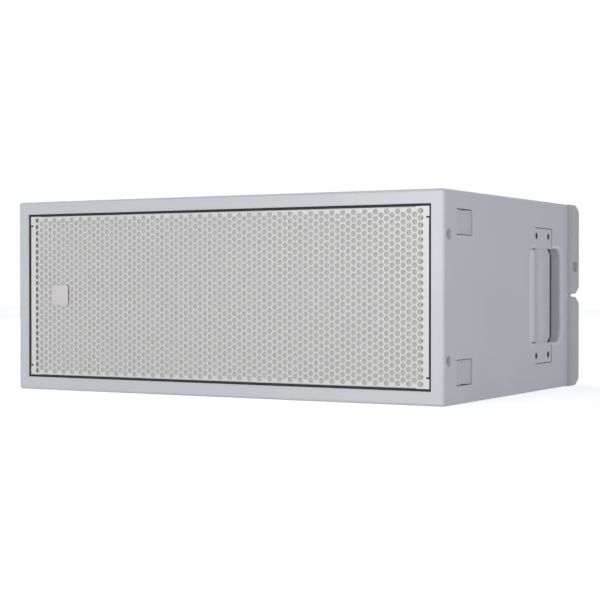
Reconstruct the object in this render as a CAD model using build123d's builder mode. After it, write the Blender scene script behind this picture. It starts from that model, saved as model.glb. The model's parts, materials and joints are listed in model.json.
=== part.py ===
"""Line array speaker: a passive, flyable two-way cabinet with two 8 inch woofers.

Frame, in millimetres: +X is the right-hand side seen from the front, +Y runs from the
grille to the back, +Z is up. The origin lies on the floor, in the middle of the box that
encloses the cabinet and its rear bumpers.
"""
import os

from build123d import *

os.makedirs("parts", exist_ok=True)

# ---------------------------------------------------------------- driving dimensions
cabinet_width = 600.0
cabinet_height = 240.0
cabinet_depth = 396.0
panel_thickness = 18.0
front_edge_round = 3.5
inner_edge_round = 0.8

bumper_depth = 34.0
bumper_proud = 4.0
bumper_width = 60.0
bumper_gap = 3.7
bumper_chamfer_deep = 12.0
bumper_chamfer_high = 7.5
bumper_tongue_depth = 14.0
bumper_tongue_sink = 5.0
bumper_window = 12.0
bumper_window_length = 16.0
bumper_window_deep = 4.4
bumper_window_middle = 16.0
bumper_window_rise = 37.5
bumper_edge_round = 3.8
bumper_screw_radius = 2.5
bumper_head_radius = 5.0
bumper_head_height = 3.0

rebate = 1.9
rebate_depth = 2.7
gasket_setback = 1.8

grille_setback = 1.5
grille_thickness = 1.2
grille_edge_gap = 0.9
grille_flange = 8.0
grille_notch = 3.0
grille_notch_height = 89.0
foam_thickness = 4.0
foam_skin = 0.6
foam_skin_margin = 9.5
foam_height_margin = 2.0
badge_size = 25.4
badge_corner = 1.0
badge_thickness = 1.8
badge_x = -233.0
badge_rise = 1.0

baffle_setback = 25.0
seal_gap = 0.1
running_gap = 0.4
slip_gap = 0.3
fit_gap = 0.1

woofer_x = 160.0
woofer_frame_radius = 98.0
woofer_frame_thickness = 5.0
woofer_cutout_radius = 91.0
woofer_mouth_radius = 84.0
woofer_screw_circle = 94.0
woofer_screw_count = 8
woofer_screw_turn = 180 / woofer_screw_count
woofer_screw_radius = 1.9
woofer_head_radius = 3.2
woofer_head_height = 2.4
baffle_screw_bite = 15.0
basket_back_radius = 62.0
basket_depth = 58.0
basket_wall = 3.0
basket_window_count = 6
cone_radius = 74.0
coil_radius = 19.9
coil_wall = 1.3
pole_radius = 18.0
gap_plate_bore = 20.5
gap_plate_radius = 50.0
gap_plate_thickness = 6.0
magnet_radius = 60.0
magnet_bore = 30.0
magnet_thickness = 16.0
back_plate_thickness = 6.0

guide_width = 116.0
guide_height = 198.0
guide_flange = 4.0
guide_body_width = 96.0
guide_body_height = 184.0
guide_body_depth = 66.0
guide_wall = 4.0
guide_throat_width = 18.0
guide_screw_radius = 2.0
guide_head_radius = 3.6
guide_head_height = 2.0
throat_radius = 12.5
horn_driver_spacing = 100.0
horn_magnet_radius = 42.0
horn_magnet_depth = 38.0
horn_dome_radius = 22.0
horn_cap_depth = 24.0
horn_cap_wall = 3.0

brace_x = 59.0
brace_thickness = 9.0

handle_pocket_front = 260.0
handle_pocket_back = 370.0
handle_pocket_height = 120.0
handle_pocket_depth = 48.0
handle_pocket_corner = 16.0
handle_cup_wall = 2.0
handle_plate_front = 276.0
handle_plate_back = 335.0
handle_plate_height = 170.0
handle_plate_sink = 0.8
handle_plate_thickness = 4.2
handle_plate_end_gap = 0.9
handle_plate_side_gap = 0.5
handle_ledge_back = 285.0
handle_ledge_depth = 3.6
handle_rim_width = 4.5
handle_rim_round = 3.2
ledge_slot_setback = 276.0
ledge_slot_length = 16.0
ledge_slot_height = 2.4
grip_front = 285.0
grip_back = 330.0
grip_thickness = 15.0
grip_hollow = 2.2
grip_front_round = 2.5
grip_back_round = 1.2
grip_inner_round = 5.0
grip_corner = 8.0
grip_end_overlap = 0.4
trim_width = 6.0
trim_depth = 11.0
trim_sink = 0.4
handle_screw_front = 282.0
handle_screw_back = 324.0
handle_screw_rise = 75.5
handle_screw_radius = 2.5
handle_head_radius = 4.2
handle_head_height = 1.8
handle_head_sink = 0.4
handle_screw_length = 13.0

pin_setback = 12.0
pin_rise = 70.0
pin_radius = 4.0
bush_wall = 1.9
bush_sink = 0.4
bush_chamfer = 0.8
bush_groove = 0.7
bush_groove_depth = 1.4
channel_wall = 1.5
channel_stop_deep = 3.0
channel_stop_height = 6.0
link_thickness = 10.0
link_width = 13.0
link_travel = 100.0
link_end = 12.0
link_hole_play = 0.5

tab_front = 33.0
tab_back = 77.0
tab_low = 69.7
tab_high = 99.5
tab_pocket_depth = 12.0
tab_pocket_corner = 1.5
tab_base = 8.5
tab_ridge = 8.5
tab_ridge_proud = 0.5
tab_front_sink = 4.4
tab_valley = 16.0
tab_valley_sink = 5.6
tab_back_sink = 1.6
tab_ridge_round = 1.5
tab_valley_round = 6.0
tab_front_round = 1.5
tab_edge_gap = 1.1

bracket_width = 60.0
bracket_height = 120.0
bracket_thickness = 4.0
bracket_top = 230.0
cheek_thickness = 4.0
rear_bar_thickness = 8.0
rear_bar_width = 22.0
rear_bar_length = 90.0
rear_bar_standoff = 17.0
rear_bar_height = 214.0
rear_pin_radius = 4.0

plate_x = 170.0
plate_width = 120.0
plate_height = 90.0
plate_thickness = 3.0
plate_overlap = 9.0
socket_spacing = 48.0
socket_flange = 30.0
socket_flange_thickness = 2.0
socket_barrel_radius = 13.0
socket_bore_radius = 11.0
socket_depth = 30.0
socket_post_radius = 5.0
socket_post_length = 10.0
plate_screw_radius = 1.6
plate_head_radius = 2.9
plate_head_height = 1.6
plate_screw_bite = 12.0

board_width = 100.0
board_length = 110.0
board_thickness = 2.0
board_rise = 6.0
board_y = 75.0
lining_thickness = 20.0

# ---------------------------------------------------------------- derived places
half_width = cabinet_width / 2
inner_x = half_width - panel_thickness
middle_z = cabinet_height / 2
floor_z = panel_thickness
ceiling_z = cabinet_height - panel_thickness
front_y = -(cabinet_depth + bumper_depth) / 2
rear_y = front_y + cabinet_depth
rear_inner_y = rear_y - panel_thickness
baffle_y = front_y + baffle_setback
baffle_back_y = baffle_y + panel_thickness
opening_x = inner_x + rebate
opening_z = ceiling_z - middle_z + rebate
grille_y = front_y + grille_setback
grille_back_y = grille_y + grille_thickness
grille_x = inner_x - grille_edge_gap
grille_z = ceiling_z - middle_z - grille_edge_gap
foam_y = grille_back_y + fit_gap
ledge_slot_y = front_y + ledge_slot_setback
handle_recess_depth = handle_plate_sink + handle_plate_thickness
plate_face_x = half_width - handle_plate_sink
pin_y = front_y + pin_setback
bush_radius = pin_radius + bush_wall
channel_width = link_thickness + 2 * running_gap + 2 * channel_wall
channel_length = link_width + 2 * running_gap + 2 * channel_wall
channel_x = inner_x - channel_width
link_x = inner_x - channel_wall - running_gap - link_thickness / 2
upper_pin_z = middle_z + pin_rise
lower_pin_z = middle_z - pin_rise
cup_x = half_width - handle_pocket_depth
sides = {"left": -1, "right": 1}
levels = {"upper": 1, "lower": -1}


def span_box(x, y, z, mode=Mode.ADD):
    """Add or cut a box that reaches from the first to the second number on each axis."""
    with Locations(((x[0] + x[1]) / 2, (y[0] + y[1]) / 2, (z[0] + z[1]) / 2)):
        Box(abs(x[1] - x[0]), abs(y[1] - y[0]), abs(z[1] - z[0]), mode=mode)


def at_side(side, near, far):
    """The same span of X on the left (side -1) or on the right (side 1)."""
    return sorted((side * near, side * far))


def at_level(level, near, far):
    """The same span of Z above (level 1) or below (level -1) the middle."""
    return sorted((middle_z + level * near, middle_z + level * far))


def save(builder, name):
    """Label the finished piece and write it under its own name."""
    builder.part.label = name
    export_step(builder.part, f"parts/{name}.step")


# ---------------------------------------------------------------- cabinet
def make_cross_panel(name, level):
    """Top or bottom panel, rebated for the grille seal and cut for both link channels."""
    with BuildPart() as panel:
        z = at_level(level, middle_z - panel_thickness, middle_z)
        span_box((-inner_x, inner_x), (front_y, rear_y), z)
        front_edge = panel.edges().filter_by(Axis.X).group_by(Axis.Y)[0]
        outer_edge = front_edge.sort_by(Axis.Z)[-1 if level > 0 else 0]
        fillet(outer_edge, front_edge_round)
        rebate_z = at_level(level, middle_z - panel_thickness, opening_z)
        span_box((-inner_x, inner_x), (front_y, front_y + rebate_depth), rebate_z, Mode.SUBTRACT)
        lip_edge = panel.edges().filter_by(Axis.X).group_by(Axis.Y)[0].sort_by(Axis.Z)[0 if level > 0 else -1]
        fillet(lip_edge, inner_edge_round)
        for side in sides.values():
            span_box(
                at_side(side, channel_x, inner_x),
                (pin_y - channel_length / 2, pin_y + channel_length / 2),
                z,
                Mode.SUBTRACT,
            )
    save(panel, name)


def make_side_panel(name, side):
    """Side panel with its pin holes, tab pockets, handle hole and handle plate recess."""
    outward = Plane(origin=(side * half_width, 0, middle_z), x_dir=(0, 1, 0), z_dir=(side, 0, 0))
    with BuildPart() as panel:
        span_box(at_side(side, inner_x, half_width), (front_y, rear_y), (0, cabinet_height))
        inner_edges = panel.edges().group_by(Axis.X)[0 if side > 0 else -1]
        rear_edges = panel.edges().group_by(Axis.Y)[-1]
        fillet(panel.edges() - inner_edges - rear_edges, front_edge_round)
        span_box(
            at_side(side, inner_x, opening_x),
            (front_y, front_y + rebate_depth),
            (middle_z - opening_z, middle_z + opening_z),
            Mode.SUBTRACT,
        )
        with BuildSketch(outward):
            with Locations((pin_y, pin_rise), (pin_y, -pin_rise)):
                Circle(bush_radius)
        extrude(amount=-panel_thickness, mode=Mode.SUBTRACT)
        with BuildSketch(outward):
            pocket_y = front_y + (tab_front + tab_back) / 2
            pocket_z = (tab_low + tab_high) / 2
            with Locations((pocket_y, pocket_z), (pocket_y, -pocket_z)):
                RectangleRounded(tab_back - tab_front, tab_high - tab_low, tab_pocket_corner)
        extrude(amount=-tab_pocket_depth, mode=Mode.SUBTRACT)
        with BuildSketch(outward):
            with Locations((front_y + (handle_pocket_front + handle_pocket_back) / 2, 0)):
                RectangleRounded(
                    handle_pocket_back - handle_pocket_front + 2 * handle_rim_width + 2 * fit_gap,
                    handle_pocket_height + 2 * handle_rim_width + 2 * fit_gap,
                    handle_pocket_corner + handle_rim_width + fit_gap,
                )
        extrude(amount=-panel_thickness, mode=Mode.SUBTRACT)
        with BuildSketch(outward):
            with Locations((front_y + (handle_plate_front + handle_plate_back) / 2, 0)):
                Rectangle(
                    handle_plate_back - handle_plate_front + 2 * handle_plate_side_gap,
                    handle_plate_height + 2 * handle_plate_end_gap,
                )
        extrude(amount=-handle_recess_depth, mode=Mode.SUBTRACT)
        with BuildSketch(outward):
            with Locations(*handle_screw_spots()):
                Circle(handle_screw_radius + fit_gap)
        extrude(amount=-panel_thickness, mode=Mode.SUBTRACT)
    save(panel, name)


def handle_screw_spots():
    """Where the four handle screws stand, along Y and up from the middle."""
    return [
        (front_y + setback, level * handle_screw_rise)
        for setback in (handle_screw_front, handle_screw_back)
        for level in levels.values()
    ]


def make_front_baffle():
    """Baffle board with two woofer holes, the waveguide slot and the screw holes."""
    facing = Plane(origin=(0, baffle_y, middle_z), x_dir=(1, 0, 0), z_dir=(0, -1, 0))
    with BuildPart() as baffle:
        span_box((-inner_x, inner_x), (baffle_y, baffle_back_y), (floor_z, ceiling_z))
        with BuildSketch(facing):
            with Locations((-woofer_x, 0), (woofer_x, 0)):
                Circle(woofer_cutout_radius)
            Rectangle(guide_body_width + 2 * slip_gap, guide_body_height + 2 * slip_gap)
            for side in sides.values():
                with Locations((side * woofer_x, 0)):
                    with PolarLocations(woofer_screw_circle, woofer_screw_count, woofer_screw_turn):
                        Circle(woofer_screw_radius + fit_gap)
            with Locations(*guide_screw_spots()):
                Circle(guide_screw_radius + fit_gap)
        extrude(amount=-panel_thickness, mode=Mode.SUBTRACT)
    save(baffle, "front_baffle")


def guide_screw_spots():
    """The four screws in the side rails of the waveguide's flange."""
    rail_x = (guide_width + guide_body_width) / 4
    return [(side * rail_x, level * guide_height / 3) for side in (-1, 1) for level in (-1, 1)]


def make_rear_panel():
    """Rear panel with the opening behind the connector plate."""
    with BuildPart() as panel:
        span_box((-inner_x, inner_x), (rear_inner_y, rear_y), (floor_z, ceiling_z))
        cut_width = plate_width - 2 * plate_overlap
        cut_height = plate_height - 2 * plate_overlap
        span_box(
            (plate_x - cut_width / 2, plate_x + cut_width / 2),
            (rear_inner_y, rear_y),
            (middle_z - cut_height / 2, middle_z + cut_height / 2),
            Mode.SUBTRACT,
        )
        with BuildSketch(Plane(origin=(0, rear_y, 0), x_dir=(-1, 0, 0), z_dir=(0, 1, 0))):
            with Locations(*plate_screw_spots()):
                Circle(plate_screw_radius + fit_gap)
        extrude(amount=-panel_thickness, mode=Mode.SUBTRACT)
    save(panel, "rear_panel")


def plate_screw_spots():
    """The connector plate's screws, in the plane of the back, where X runs to the left."""
    across = (plate_width - plate_overlap) / 2
    up = (plate_height - plate_overlap) / 2
    return [(-plate_x + a * across, middle_z + b * up) for a in (-1, 1) for b in (-1, 1)]


def make_brace(name, side):
    """Upright brace from baffle to rear panel, with three windows for the air."""
    with BuildPart() as brace:
        span_box(
            at_side(side, brace_x, brace_x + brace_thickness),
            (baffle_back_y, rear_inner_y),
            (floor_z, ceiling_z),
        )
        with BuildSketch(Plane.YZ.offset(side * brace_x)):
            with Locations((0, middle_z)):
                with GridLocations((rear_inner_y - baffle_back_y) / 3, 0, 3, 1):
                    RectangleRounded(80, 130, 25)
        extrude(amount=side * brace_thickness, mode=Mode.SUBTRACT)
    save(brace, name)


def make_lining():
    """Foam lining glued under the top panel, one pad in each woofer chamber."""
    with BuildPart() as lining:
        for side in sides.values():
            span_box(
                at_side(side, brace_x + brace_thickness + 6, cup_x - handle_cup_wall - 6),
                (-80, rear_inner_y - 10),
                (ceiling_z - lining_thickness, ceiling_z),
            )
    save(lining, "acoustic_lining")


# ---------------------------------------------------------------- grille
def make_grille():
    """Grille sheet as one closed sheet, with its top and bottom edges folded back."""
    facing = Plane(origin=(0, grille_y, middle_z), x_dir=(1, 0, 0), z_dir=(0, -1, 0))
    with BuildPart() as grille:
        with BuildSketch(facing):
            Rectangle(2 * grille_x, 2 * grille_z)
            with Locations(*[(a * grille_x, b * grille_notch_height) for a in (-1, 1) for b in (-1, 1)]):
                Rectangle(2 * grille_notch, grille_notch, mode=Mode.SUBTRACT)
        extrude(amount=-grille_thickness)
        for level in levels.values():
            span_box(
                (-channel_x + grille_notch, channel_x - grille_notch),
                (grille_y, grille_y + grille_flange),
                at_level(level, grille_z - grille_thickness, grille_z),
            )
        front_edges = grille.edges().filter_by(Axis.X).group_by(Axis.Y)[0]
        folds = front_edges.filter_by(lambda edge: edge.length > cabinet_width / 2)
        fillet(folds, grille_thickness * 0.8)
    save(grille, "grille")


def make_grille_foam():
    """Foam behind the grille sheet: full thickness between the link channels, a skin in front of them."""
    foam_z = (middle_z - grille_z + foam_height_margin, middle_z + grille_z - foam_height_margin)
    with BuildPart() as foam:
        span_box(
            (-channel_x + slip_gap, channel_x - slip_gap),
            (foam_y, foam_y + foam_thickness),
            foam_z,
        )
        span_box(
            (-grille_x + foam_skin_margin, grille_x - foam_skin_margin),
            (foam_y, foam_y + foam_skin),
            foam_z,
        )
    save(foam, "grille_foam")


def make_grille_gasket():
    """Black rubber seal that lies in the rebate around the grille."""
    with BuildPart() as gasket:
        depth = (front_y + gasket_setback, front_y + rebate_depth)
        outer_x = opening_x - seal_gap / 2
        outer_z = opening_z - seal_gap / 2
        span_box((-outer_x, outer_x), depth, (middle_z - outer_z, middle_z + outer_z))
        span_box((-inner_x, inner_x), depth, (floor_z, ceiling_z), Mode.SUBTRACT)
    save(gasket, "grille_gasket")


def make_badge():
    """Blank square badge plate on the grille."""
    facing = Plane(origin=(badge_x, grille_y, middle_z + badge_rise), x_dir=(1, 0, 0), z_dir=(0, -1, 0))
    with BuildPart() as badge:
        with BuildSketch(facing):
            RectangleRounded(badge_size, badge_size, badge_corner)
        extrude(amount=badge_thickness)
    save(badge, "badge_plate")


# ---------------------------------------------------------------- woofers
def ring_profile(centre, points):
    """Turn a closed outline of (radius, depth behind the baffle face) about the woofer's axis."""
    plane = Plane(origin=(centre, baffle_y, middle_z), x_dir=(1, 0, 0), z_dir=(0, 0, 1))
    with BuildSketch(plane) as outline:
        with BuildLine():
            Polyline(*points, close=True)
        make_face()
    revolve(outline.sketch, axis=Axis((centre, baffle_y, middle_z), (0, 1, 0)))


def make_basket(name, centre):
    """Cast basket: flange on the baffle, windowed bowl and back ring."""
    ring_inner = basket_back_radius - 4 * basket_wall
    with BuildPart() as basket:
        ring_profile(
            centre,
            [
                (woofer_mouth_radius, -woofer_frame_thickness),
                (woofer_frame_radius, -woofer_frame_thickness),
                (woofer_frame_radius, 0),
                (woofer_cutout_radius - 1, 0),
                (basket_back_radius + 1, basket_depth),
                (ring_inner - 12, basket_depth),
                (ring_inner - 12, basket_depth - basket_wall),
                (basket_back_radius - 2, basket_depth - basket_wall),
                (woofer_mouth_radius, 4),
            ],
        )
        window_plane = Plane(origin=(centre, baffle_y, middle_z), x_dir=(1, 0, 0), z_dir=(0, 1, 0))
        with BuildSketch(window_plane.offset(12)) as windows:
            with PolarLocations(75, basket_window_count):
                RectangleRounded(60, 48, 8)
            Circle(basket_back_radius - 4, mode=Mode.SUBTRACT)
        extrude(amount=basket_depth - 12 - 2 * basket_wall, mode=Mode.SUBTRACT)
        with BuildSketch(window_plane.offset(-woofer_frame_thickness)):
            with PolarLocations(woofer_screw_circle, woofer_screw_count, woofer_screw_turn):
                Circle(woofer_screw_radius + fit_gap)
        extrude(amount=woofer_frame_thickness, mode=Mode.SUBTRACT)
    save(basket, name)


def make_motor(prefix, centre):
    """Gap plate and pole yoke in one node, and the ring magnet between them in another."""
    plate_back = basket_depth + gap_plate_thickness
    magnet_back = plate_back + magnet_thickness
    yoke_back = magnet_back + back_plate_thickness
    with BuildPart() as steel:
        ring_profile(
            centre,
            [
                (gap_plate_bore, basket_depth),
                (gap_plate_radius, basket_depth),
                (gap_plate_radius, plate_back),
                (gap_plate_bore, plate_back),
            ],
        )
        ring_profile(
            centre,
            [
                (6, basket_depth),
                (pole_radius, basket_depth),
                (pole_radius, magnet_back),
                (gap_plate_radius + 4, magnet_back),
                (gap_plate_radius, yoke_back),
                (6, yoke_back),
            ],
        )
    save(steel, f"{prefix}_pole_pieces")
    with BuildPart() as magnet:
        ring_profile(
            centre,
            [
                (magnet_bore, plate_back),
                (magnet_radius, plate_back),
                (magnet_radius, magnet_back),
                (magnet_bore, magnet_back),
            ],
        )
    save(magnet, f"{prefix}_magnet")


def make_cone(prefix, centre):
    """Paper cone with its dust cap, and the voice coil on its neck."""
    lip = -woofer_frame_thickness
    neck = coil_radius + fit_gap / 2
    with BuildPart() as cone:
        ring_profile(
            centre,
            [
                (cone_radius, lip),
                (cone_radius, lip + 1),
                (cone_radius - 4, lip + 1),
                (neck + 1, 36),
                (neck, 36),
                (neck, 34),
                (cone_radius - 6, lip),
            ],
        )
        ring_profile(
            centre,
            [(0, 19), (12, 20.5), (27, 28), (29, 29), (29, 30.5), (27, 30), (12, 22), (0, 20.5)],
        )
    save(cone, f"{prefix}_cone")
    with BuildPart() as coil:
        ring_profile(
            centre,
            [
                (coil_radius - coil_wall, 30),
                (coil_radius, 30),
                (coil_radius, basket_depth + 12),
                (coil_radius - coil_wall, basket_depth + 12),
            ],
        )
    save(coil, f"{prefix}_voice_coil")


def make_suspension(prefix, centre):
    """Rubber surround at the cone's rim and corrugated cloth spider at its neck."""
    seat = -woofer_frame_thickness
    middle = (cone_radius + woofer_mouth_radius) / 2
    reach = (woofer_mouth_radius - cone_radius) / 2
    with BuildPart() as surround:
        with BuildSketch(Plane(origin=(centre, baffle_y, middle_z), x_dir=(1, 0, 0), z_dir=(0, 0, 1))):
            with BuildLine():
                Polyline(
                    (middle + reach, seat),
                    (woofer_screw_circle - 5, seat),
                    (woofer_screw_circle - 5, seat - 1),
                    (middle + reach + 1, seat - 1),
                )
                ThreePointArc(
                    (middle + reach + 1, seat - 1),
                    (middle, seat - 1 - reach),
                    (middle - reach - 1, seat - 1),
                )
                Polyline(
                    (middle - reach - 1, seat - 1),
                    (cone_radius - 5, seat - 1),
                    (cone_radius - 5, seat),
                    (middle - reach, seat),
                )
                ThreePointArc((middle - reach, seat), (middle, seat - reach), (middle + reach, seat))
            make_face()
        revolve(axis=Axis((centre, baffle_y, middle_z), (0, 1, 0)))
    save(surround, f"{prefix}_surround")
    rim = basket_depth - basket_wall
    with BuildPart() as spider:
        ring_profile(
            centre,
            [
                (coil_radius + 0.3, rim - 8),
                (26, rim - 9),
                (32, rim - 5),
                (38, rim - 7),
                (44, rim - 3),
                (50, rim - 1),
                (basket_back_radius - 3, rim - 1),
                (basket_back_radius - 3, rim),
                (50, rim),
                (44, rim - 2),
                (38, rim - 6),
                (32, rim - 4),
                (26, rim - 8),
                (coil_radius + 0.3, rim - 7),
            ],
        )
    save(spider, f"{prefix}_spider")


# ---------------------------------------------------------------- high frequency section
def make_waveguide():
    """Waveguide that turns two round throats into one tall slot."""
    face = Plane(origin=(0, baffle_y - guide_flange, middle_z), x_dir=(1, 0, 0), z_dir=(0, 1, 0))
    total = guide_flange + guide_body_depth
    with BuildPart() as guide:
        with BuildSketch(face):
            RectangleRounded(guide_width, guide_height, 4)
        extrude(amount=guide_flange)
        with BuildSketch(face.offset(guide_flange)):
            Rectangle(guide_body_width, guide_body_height)
        extrude(amount=guide_body_depth)
        mouth_height = guide_body_height - 2 * guide_wall
        with BuildSketch(face):
            Rectangle(guide_body_width - 2 * guide_wall, mouth_height)
        with BuildSketch(face.offset(total - guide_wall)):
            Rectangle(guide_throat_width, mouth_height - 8)
        loft(mode=Mode.SUBTRACT)
        with BuildSketch(face.offset(total)):
            with Locations(*[(0, level * horn_driver_spacing / 2) for level in levels.values()]):
                Circle(throat_radius)
        extrude(amount=-guide_wall - 2, mode=Mode.SUBTRACT)
        with BuildSketch(face):
            with Locations(*guide_screw_spots()):
                Circle(guide_screw_radius + fit_gap)
        extrude(amount=guide_flange, mode=Mode.SUBTRACT)
    save(guide, "waveguide")


def make_baffle_screws():
    """The screws of both woofer frames and of the waveguide's flange."""
    face = Plane(origin=(0, baffle_y, middle_z), x_dir=(1, 0, 0), z_dir=(0, -1, 0))
    with BuildPart() as screws:
        for side in sides.values():
            with BuildSketch(face.offset(woofer_frame_thickness)):
                with Locations((side * woofer_x, 0)):
                    with PolarLocations(woofer_screw_circle, woofer_screw_count, woofer_screw_turn):
                        Circle(woofer_head_radius)
            extrude(amount=woofer_head_height)
            with BuildSketch(face.offset(woofer_frame_thickness)):
                with Locations((side * woofer_x, 0)):
                    with PolarLocations(woofer_screw_circle, woofer_screw_count, woofer_screw_turn):
                        Circle(woofer_screw_radius)
            extrude(amount=-woofer_frame_thickness - baffle_screw_bite)
        with BuildSketch(face.offset(guide_flange)):
            with Locations(*guide_screw_spots()):
                Circle(guide_head_radius)
        extrude(amount=guide_head_height)
        with BuildSketch(face.offset(guide_flange)):
            with Locations(*guide_screw_spots()):
                Circle(guide_screw_radius)
        extrude(amount=-guide_flange - baffle_screw_bite)
    save(screws, "baffle_screws")


def make_compression_drivers():
    """Magnet housing, domed diaphragm and rear cap of both compression drivers."""
    mount_y = baffle_y + guide_body_depth
    back_y = mount_y + horn_magnet_depth
    heights = [middle_z + level * horn_driver_spacing / 2 for level in levels.values()]
    with BuildPart() as magnets:
        for height in heights:
            with BuildSketch(Plane(origin=(0, mount_y, height), x_dir=(1, 0, 0), z_dir=(0, 1, 0))):
                Circle(horn_magnet_radius)
                Circle(throat_radius, mode=Mode.SUBTRACT)
            extrude(amount=horn_magnet_depth)
    save(magnets, "compression_driver_magnets")
    with BuildPart() as domes:
        for height in heights:
            with BuildSketch(Plane(origin=(0, back_y, height), x_dir=(1, 0, 0), z_dir=(0, 0, 1))):
                with BuildLine():
                    Polyline(
                        (0, 8),
                        (0, 9),
                        (horn_dome_radius * 0.6, 7),
                        (horn_dome_radius, 1),
                        (horn_magnet_radius - 5, 1),
                        (horn_magnet_radius - 5, 0),
                        (horn_dome_radius - 1, 0),
                        (horn_dome_radius * 0.6 - 1, 6),
                        close=True,
                    )
                make_face()
            revolve(axis=Axis((0, back_y, height), (0, 1, 0)))
    save(domes, "compression_driver_diaphragms")
    with BuildPart() as caps:
        for height in heights:
            outer = horn_magnet_radius - 1
            inner = outer - horn_cap_wall
            with BuildSketch(Plane(origin=(0, back_y, height), x_dir=(1, 0, 0), z_dir=(0, 1, 0))):
                Circle(outer)
            extrude(amount=horn_cap_depth)
            with BuildSketch(Plane(origin=(0, back_y, height), x_dir=(1, 0, 0), z_dir=(0, 1, 0))):
                Circle(inner)
            extrude(amount=horn_cap_depth - horn_cap_wall, mode=Mode.SUBTRACT)
    save(caps, "compression_driver_caps")


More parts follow.
